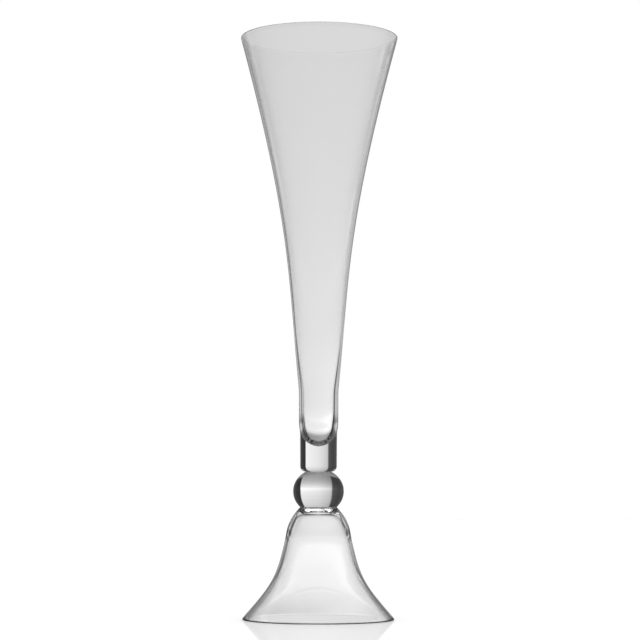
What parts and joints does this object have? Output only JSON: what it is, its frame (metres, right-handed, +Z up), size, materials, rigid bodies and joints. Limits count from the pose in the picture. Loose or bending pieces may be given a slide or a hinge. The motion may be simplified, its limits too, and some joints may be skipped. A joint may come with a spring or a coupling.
{
  "type": "tulip vase",
  "caption": "Tall clear-glass tulip vase: a trumpet bowl with a heavy rounded bottom on a solid stub and ball, standing on a hollow bell foot.",
  "frame": {"origin": "centre of the foot, on the plane that the vase stands on", "axes": "+Z up along the vase's turning axis, from the foot to the mouth; +X and +Y are equal, because the vase is round"},
  "size_m": [0.1652, 0.1652, 0.61],
  "materials": {
    "clear_glass": "clear, fire-polished, colourless soda-lime glass"
  },
  "bodies": {
    "root": {"trumpet_bowl": "clear_glass", "stem_stub": "clear_glass", "ball_knop": "clear_glass", "bell_foot": "clear_glass"}
  },
  "joints": []
}
